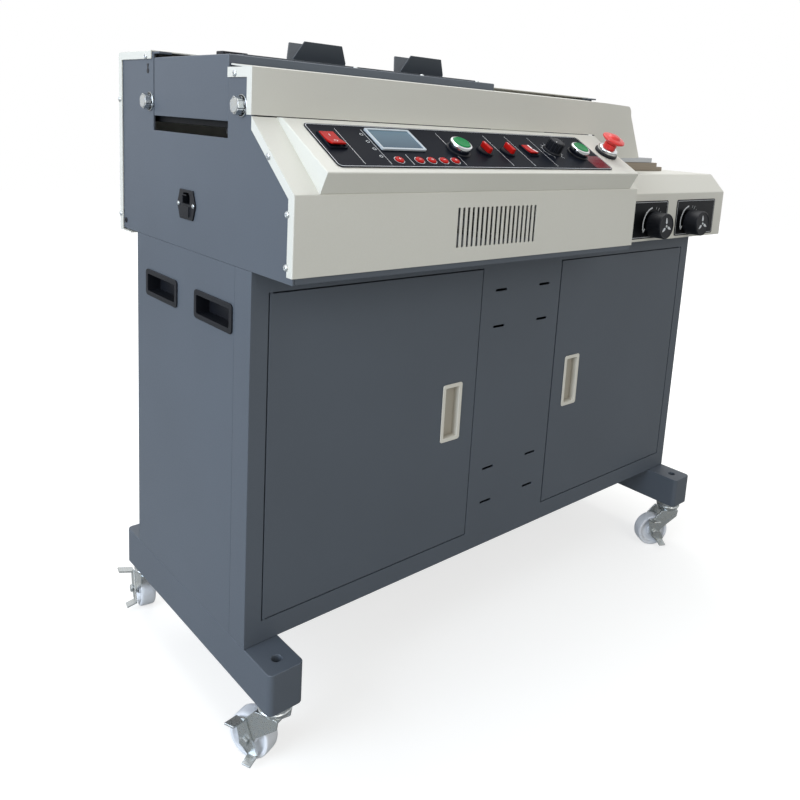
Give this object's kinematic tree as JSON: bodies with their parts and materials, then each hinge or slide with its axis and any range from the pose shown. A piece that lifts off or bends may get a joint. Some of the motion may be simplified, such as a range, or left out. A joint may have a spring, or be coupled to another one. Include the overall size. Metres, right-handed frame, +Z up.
{
  "type": "thermal binding machine",
  "caption": "Floor-standing thermal book binding machine: castor cabinet with doors, sliding clamp carriage, milling cutter, glue roller, nipping table and control panel.",
  "frame": {"origin": "on the floor, under the middle of the whole machine as it stands", "axes": "+X along the machine to the operator's right, +Y to the back, +Z up; the operator stands on the -Y side"},
  "size_m": [1.0916, 0.54, 0.9503],
  "materials": {
    "grey_paint": "satin powder coat",
    "cream_paint": "satin powder coat",
    "black_plastic": "matt moulded",
    "cream_plastic": "satin moulded",
    "zinc_plate": "bright zinc plate",
    "ground_steel": "ground",
    "white_nylon": "smooth moulded",
    "cast_aluminium": "machined",
    "bronze_plate": "bronze coat",
    "dark_plate": "dark coat",
    "panel_film": "printed film",
    "screen_glass": "clear window",
    "red_plastic": "gloss moulded",
    "green_plastic": "gloss moulded"
  },
  "bodies": {
    "cabinet": {"foot_left": "grey_paint", "foot_right": "grey_paint", "front_frame": "grey_paint", "side_panel_left": "grey_paint", "side_panel_right": "grey_paint", "back_panel": "grey_paint", "floor_panel": "grey_paint", "grip_left_rear": "black_plastic", "grip_right_rear": "black_plastic", "grip_left_front": "black_plastic", "grip_right_front": "black_plastic", "end_plate_left": "grey_paint", "deck_tray": "grey_paint", "guide_rod_front": "ground_steel", "guide_rod_rear": "ground_steel", "front_band": "cream_paint", "rear_cover": "cream_paint", "panel_overlay": "panel_film", "lcd_display": "screen_glass", "control_cover": "cream_paint", "console_shell": "cream_paint", "nip_table": "bronze_plate", "milling_motor": "dark_plate", "glue_tank": "cast_aluminium", "power_inlet": "black_plastic"},
    "door_left": {"door_left": "grey_paint", "door_handle_left": "cream_plastic"},
    "door_right": {"door_right": "grey_paint", "door_handle_right": "cream_plastic"},
    "carriage": {"carriage_frame": "cast_aluminium", "carriage_cover": "grey_paint", "clamp_jaw_front": "grey_paint"},
    "clamp_jaw_rear": {"clamp_jaw_rear": "grey_paint"},
    "milling_cutter": {"milling_cutter": "ground_steel"},
    "glue_roller": {"glue_roller": "ground_steel"},
    "guide_knob": {"guide_knob": "black_plastic"},
    "cover_guide": {"cover_guide": "cast_aluminium"},
    "nip_knob": {"nip_knob": "black_plastic"},
    "nip_plate_rear": {"nip_plate_rear": "bronze_plate"},
    "power_rocker": {"power_rocker": "red_plastic"},
    "mode_rocker": {"mode_rocker": "red_plastic"},
    "selector_left": {"selector_left": "red_plastic"},
    "selector_right": {"selector_right": "red_plastic"},
    "start_button": {"start_button": "green_plastic"},
    "clamp_button": {"clamp_button": "green_plastic"},
    "speed_knob": {"speed_knob": "black_plastic"},
    "stop_stem": {"stop_stem": "red_plastic"},
    "stop_cap": {"stop_cap": "red_plastic"},
    "castor_fork_front_left": {"castor_fork_front_left": "zinc_plate"},
    "castor_wheel_front_left": {"castor_wheel_front_left": "white_nylon"},
    "castor_pedal_front_left": {"castor_pedal_front_left": "zinc_plate"},
    "castor_fork_front_right": {"castor_fork_front_right": "zinc_plate"},
    "castor_wheel_front_right": {"castor_wheel_front_right": "white_nylon"},
    "castor_pedal_front_right": {"castor_pedal_front_right": "zinc_plate"},
    "castor_fork_rear_left": {"castor_fork_rear_left": "zinc_plate"},
    "castor_wheel_rear_left": {"castor_wheel_rear_left": "white_nylon"},
    "castor_pedal_rear_left": {"castor_pedal_rear_left": "zinc_plate"},
    "castor_fork_rear_right": {"castor_fork_rear_right": "zinc_plate"},
    "castor_wheel_rear_right": {"castor_wheel_rear_right": "white_nylon"},
    "castor_pedal_rear_right": {"castor_pedal_rear_right": "zinc_plate"}
  },
  "joints": [
    {"name": "door_left_hinge", "type": "hinge", "parent": "cabinet", "child": "door_left", "pos_m": [-0.48411, -0.16043, 0.41095], "axis": [0, 0, -1], "range_deg": [0, 110]},
    {"name": "door_right_hinge", "type": "hinge", "parent": "cabinet", "child": "door_right", "pos_m": [0.46669, -0.16043, 0.41095], "axis": [0, 0, 1], "range_deg": [0, 110]},
    {"name": "carriage_slide", "type": "slide", "parent": "cabinet", "child": "carriage", "axis": [1, 0, 0], "range_m": [0, 0.5]},
    {"name": "clamp_jaw_slide", "type": "slide", "parent": "carriage", "child": "clamp_jaw_rear", "axis": [0, 1, 0], "range_m": [0, 0.045]},
    {"name": "cutter_spin", "type": "hinge", "parent": "cabinet", "child": "milling_cutter", "pos_m": [0.01929, -0.04653, 0.8065], "axis": [0, 0, 1], "continuous": true},
    {"name": "roller_spin", "type": "hinge", "parent": "cabinet", "child": "glue_roller", "pos_m": [0.13529, -0.04653, 0.787], "axis": [0, 1, 0], "continuous": true},
    {"name": "guide_knob_turn", "type": "hinge", "parent": "cabinet", "child": "guide_knob", "pos_m": [0.29029, -0.21428, 0.6935], "axis": [0, -1, 0], "range_deg": [0, 1081]},
    {"name": "nip_knob_turn", "type": "hinge", "parent": "cabinet", "child": "nip_knob", "pos_m": [0.41829, -0.21428, 0.6935], "axis": [0, -1, 0], "range_deg": [0, 1801]},
    {"name": "cover_guide_slide", "type": "slide", "parent": "cabinet", "child": "cover_guide", "axis": [1, 0, 0], "range_m": [0, 0.018]},
    {"name": "nip_plate_slide", "type": "slide", "parent": "cabinet", "child": "nip_plate_rear", "axis": [0, -1, 0], "range_m": [0, 0.025]},
    {"name": "power_rocker_tilt", "type": "hinge", "parent": "cabinet", "child": "power_rocker", "pos_m": [-0.44071, -0.21533, 0.82476], "axis": [1, 0, 0], "range_deg": [0, 14]},
    {"name": "mode_rocker_tilt", "type": "hinge", "parent": "cabinet", "child": "mode_rocker", "pos_m": [-0.09471, -0.22313, 0.82027], "axis": [1, 0, 0], "range_deg": [0, 14]},
    {"name": "selector_left_turn", "type": "hinge", "parent": "cabinet", "child": "selector_left", "pos_m": [-0.19271, -0.2307, 0.8234], "axis": [0, -0.4995, 0.8663], "range_deg": [-45, 45]},
    {"name": "selector_right_turn", "type": "hinge", "parent": "cabinet", "child": "selector_right", "pos_m": [-0.14571, -0.2307, 0.8234], "axis": [0, -0.4995, 0.8663], "range_deg": [-45, 45]},
    {"name": "start_button_press", "type": "slide", "parent": "cabinet", "child": "start_button", "axis": [0, 0.4995, -0.8663], "range_m": [0, 0.003], "stiffness_N_per_m": 400, "springref_m": -0.002},
    {"name": "clamp_button_press", "type": "slide", "parent": "cabinet", "child": "clamp_button", "axis": [0, 0.4995, -0.8663], "range_m": [0, 0.003], "stiffness_N_per_m": 400, "springref_m": -0.002},
    {"name": "speed_knob_turn", "type": "hinge", "parent": "cabinet", "child": "speed_knob", "pos_m": [-0.03971, -0.22564, 0.82863], "axis": [0, -0.4995, 0.8663], "range_deg": [0, 270]},
    {"name": "stop_button_press", "type": "slide", "parent": "cabinet", "child": "stop_stem", "axis": [0, 0.4995, -0.8663], "range_m": [0, 0.005]},
    {"name": "stop_cap_release", "type": "hinge", "parent": "stop_stem", "child": "stop_cap", "pos_m": [0.09929, -0.23227, 0.84213], "axis": [0, -0.4995, 0.8663], "range_deg": [0, 45]},
    {"name": "castor_swivel_front_left", "type": "hinge", "parent": "cabinet", "child": "castor_fork_front_left", "pos_m": [-0.48821, -0.20303, 0.09], "axis": [0, 0, 1], "continuous": true},
    {"name": "castor_roll_front_left", "type": "hinge", "parent": "castor_fork_front_left", "child": "castor_wheel_front_left", "pos_m": [-0.50095, -0.1715, 0.0325], "axis": [-0.9272, -0.3746, 0], "continuous": true},
    {"name": "castor_brake_front_left", "type": "hinge", "parent": "castor_fork_front_left", "child": "castor_pedal_front_left", "pos_m": [-0.51764, -0.17824, 0.0325], "axis": [-0.9272, -0.3746, 0], "range_deg": [0, 20]},
    {"name": "castor_swivel_front_right", "type": "hinge", "parent": "cabinet", "child": "castor_fork_front_right", "pos_m": [0.47079, -0.20303, 0.09], "axis": [0, 0, 1], "continuous": true},
    {"name": "castor_roll_front_right", "type": "hinge", "parent": "castor_fork_front_right", "child": "castor_wheel_front_right", "pos_m": [0.44134, -0.18603, 0.0325], "axis": [-0.5, -0.866, 0], "continuous": true},
    {"name": "castor_brake_front_right", "type": "hinge", "parent": "castor_fork_front_right", "child": "castor_pedal_front_right", "pos_m": [0.43234, -0.20161, 0.0325], "axis": [-0.5, -0.866, 0], "range_deg": [0, 20]},
    {"name": "castor_swivel_rear_left", "type": "hinge", "parent": "cabinet", "child": "castor_fork_rear_left", "pos_m": [-0.48821, 0.20297, 0.09], "axis": [0, 0, 1], "continuous": true},
    {"name": "castor_roll_rear_left", "type": "hinge", "parent": "castor_fork_rear_left", "child": "castor_wheel_rear_left", "pos_m": [-0.48231, 0.23646, 0.0325], "axis": [-0.9848, 0.1736, 0], "continuous": true},
    {"name": "castor_brake_rear_left", "type": "hinge", "parent": "castor_fork_rear_left", "child": "castor_pedal_rear_left", "pos_m": [-0.50003, 0.23958, 0.0325], "axis": [-0.9848, 0.1736, 0], "range_deg": [0, 20]},
    {"name": "castor_swivel_rear_right", "type": "hinge", "parent": "cabinet", "child": "castor_fork_rear_right", "pos_m": [0.47079, 0.20297, 0.09], "axis": [0, 0, 1], "continuous": true},
    {"name": "castor_roll_rear_right", "type": "hinge", "parent": "castor_fork_rear_right", "child": "castor_wheel_rear_right", "pos_m": [0.48242, 0.23492, 0.0325], "axis": [-0.9397, 0.342, 0], "continuous": true},
    {"name": "castor_brake_rear_right", "type": "hinge", "parent": "castor_fork_rear_right", "child": "castor_pedal_rear_right", "pos_m": [0.4655, 0.24108, 0.0325], "axis": [-0.9397, 0.342, 0], "range_deg": [0, 20]}
  ],
  "couplings": [
    {"joint": "guide_knob_turn", "follows": "cover_guide_slide", "rad_per_m": 1047.2},
    {"joint": "nip_knob_turn", "follows": "nip_plate_slide", "rad_per_m": 1256.6}
  ]
}
